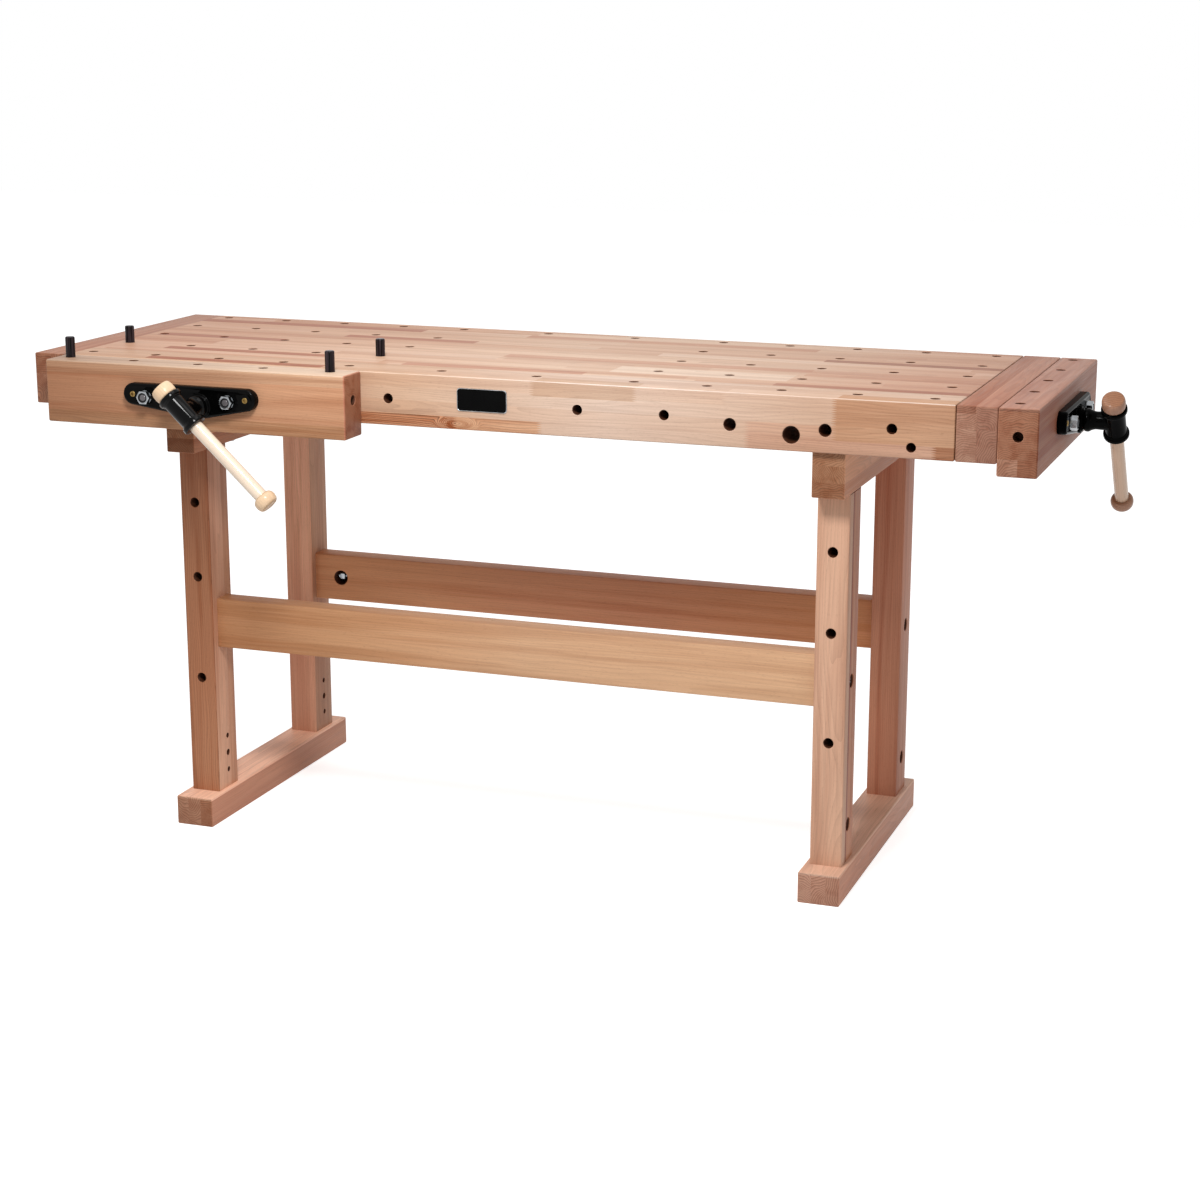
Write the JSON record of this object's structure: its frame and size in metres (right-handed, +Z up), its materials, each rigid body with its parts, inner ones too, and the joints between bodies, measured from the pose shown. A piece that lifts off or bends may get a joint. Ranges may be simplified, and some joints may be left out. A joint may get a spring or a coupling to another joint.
{
  "type": "woodworking bench with vises",
  "caption": "Laminated beech woodworking bench on trestles, with a front vise, an end vise, rows of round dog holes and steel dogs.",
  "frame": {"origin": "on the floor, under the middle of the whole object's box with its vise handles", "axes": "+X along the bench to the end vise, -Y to the front vise and the user, +Z up"},
  "size_m": [2.0926, 0.8166, 0.992],
  "materials": {
    "beech_top": "oiled laminated beech",
    "beech_trestle": "oiled steamed beech",
    "beech_handle": "lacquered turned beech",
    "black_cast_iron": "glossy black paint",
    "zinc_plated_steel": "bright zinc plating",
    "bright_steel": "turned",
    "brass": "turned",
    "blackened_steel": "blackened",
    "badge_plate": "satin black, bare"
  },
  "bodies": {
    "bench": {"top_panel": "beech_top", "front_beam": "beech_top", "back_beam": "beech_top", "left_end_cap": "beech_top", "right_end_cap": "beech_top", "front_stretcher": "beech_trestle", "back_stretcher": "beech_trestle", "badge": "badge_plate", "front_nut_bracket": "black_cast_iron", "end_nut_bracket": "black_cast_iron", "left_foot": "beech_trestle", "left_bearer": "beech_trestle", "left_front_post": "beech_trestle", "left_front_bolt": "zinc_plated_steel", "left_front_nut": "zinc_plated_steel", "left_back_post": "beech_trestle", "left_back_bolt": "zinc_plated_steel", "left_back_nut": "zinc_plated_steel", "right_foot": "beech_trestle", "right_bearer": "beech_trestle", "right_front_post": "beech_trestle", "right_front_bolt": "zinc_plated_steel", "right_front_nut": "zinc_plated_steel", "right_back_post": "beech_trestle", "right_back_bolt": "zinc_plated_steel", "right_back_nut": "zinc_plated_steel"},
    "front_carriage": {"front_jaw": "beech_top", "front_plate": "black_cast_iron", "front_yoke": "blackened_steel", "front_left_guide_rod": "bright_steel", "front_left_rod_nut": "zinc_plated_steel", "front_left_plate_screw": "brass", "front_right_guide_rod": "bright_steel", "front_right_rod_nut": "zinc_plated_steel", "front_right_plate_screw": "brass"},
    "front_spindle": {"front_screw": "bright_steel", "front_retainer": "bright_steel", "front_head": "black_cast_iron"},
    "front_handle": {"front_bar": "beech_handle", "front_upper_knob": "beech_handle", "front_lower_knob": "beech_handle"},
    "end_carriage": {"end_jaw": "beech_top", "end_plate": "black_cast_iron", "end_yoke": "blackened_steel", "end_left_guide_rod": "bright_steel", "end_left_rod_nut": "zinc_plated_steel", "end_left_plate_screw": "brass", "end_right_guide_rod": "bright_steel", "end_right_rod_nut": "zinc_plated_steel", "end_right_plate_screw": "brass"},
    "end_spindle": {"end_screw": "bright_steel", "end_retainer": "bright_steel", "end_head": "black_cast_iron"},
    "end_handle": {"end_bar": "beech_handle", "end_upper_knob": "beech_handle", "end_lower_knob": "beech_handle"},
    "jaw_dog_left": {"left_jaw_dog": "blackened_steel"},
    "top_dog_left": {"left_top_dog": "blackened_steel"},
    "jaw_dog_right": {"right_jaw_dog": "blackened_steel"},
    "top_dog_right": {"right_top_dog": "blackened_steel"}
  },
  "joints": [
    {"name": "front_jaw_slide", "type": "slide", "parent": "bench", "child": "front_carriage", "axis": [0, -1, 0], "range_m": [0, 0.1805]},
    {"name": "front_screw_turn", "type": "hinge", "parent": "front_carriage", "child": "front_spindle", "pos_m": [-0.6333, -0.3037, 0.8815], "axis": [0, -1, 0], "range_deg": [0, 10800]},
    {"name": "front_bar_slide", "type": "slide", "parent": "front_spindle", "child": "front_handle", "axis": [-0.729, 0, 0.6845], "range_m": [0, 0.181]},
    {"name": "end_jaw_slide", "type": "slide", "parent": "bench", "child": "end_carriage", "axis": [1, 0, 0], "range_m": [0, 0.1805]},
    {"name": "end_screw_turn", "type": "hinge", "parent": "end_carriage", "child": "end_spindle", "pos_m": [0.9417, 0.1113, 0.8815], "axis": [1, 0, 0], "range_deg": [0, 10800]},
    {"name": "end_bar_slide", "type": "slide", "parent": "end_spindle", "child": "end_handle", "axis": [0, -0.6428, 0.766], "range_m": [0, 0.181]},
    {"name": "left_jaw_dog_slide", "type": "slide", "parent": "front_carriage", "child": "jaw_dog_left", "axis": [0, 0, 1], "range_m": [-0.04, 0.03]},
    {"name": "left_top_dog_slide", "type": "slide", "parent": "bench", "child": "top_dog_left", "axis": [0, 0, 1], "range_m": [-0.034, 0.03]},
    {"name": "right_jaw_dog_slide", "type": "slide", "parent": "front_carriage", "child": "jaw_dog_right", "axis": [0, 0, 1], "range_m": [-0.04, 0.03]},
    {"name": "right_top_dog_slide", "type": "slide", "parent": "bench", "child": "top_dog_right", "axis": [0, 0, 1], "range_m": [-0.034, 0.03]}
  ],
  "couplings": [
    {"joint": "front_jaw_slide", "follows": "front_screw_turn", "m_per_rad": 0.00095493},
    {"joint": "end_jaw_slide", "follows": "end_screw_turn", "m_per_rad": 0.00095493}
  ]
}
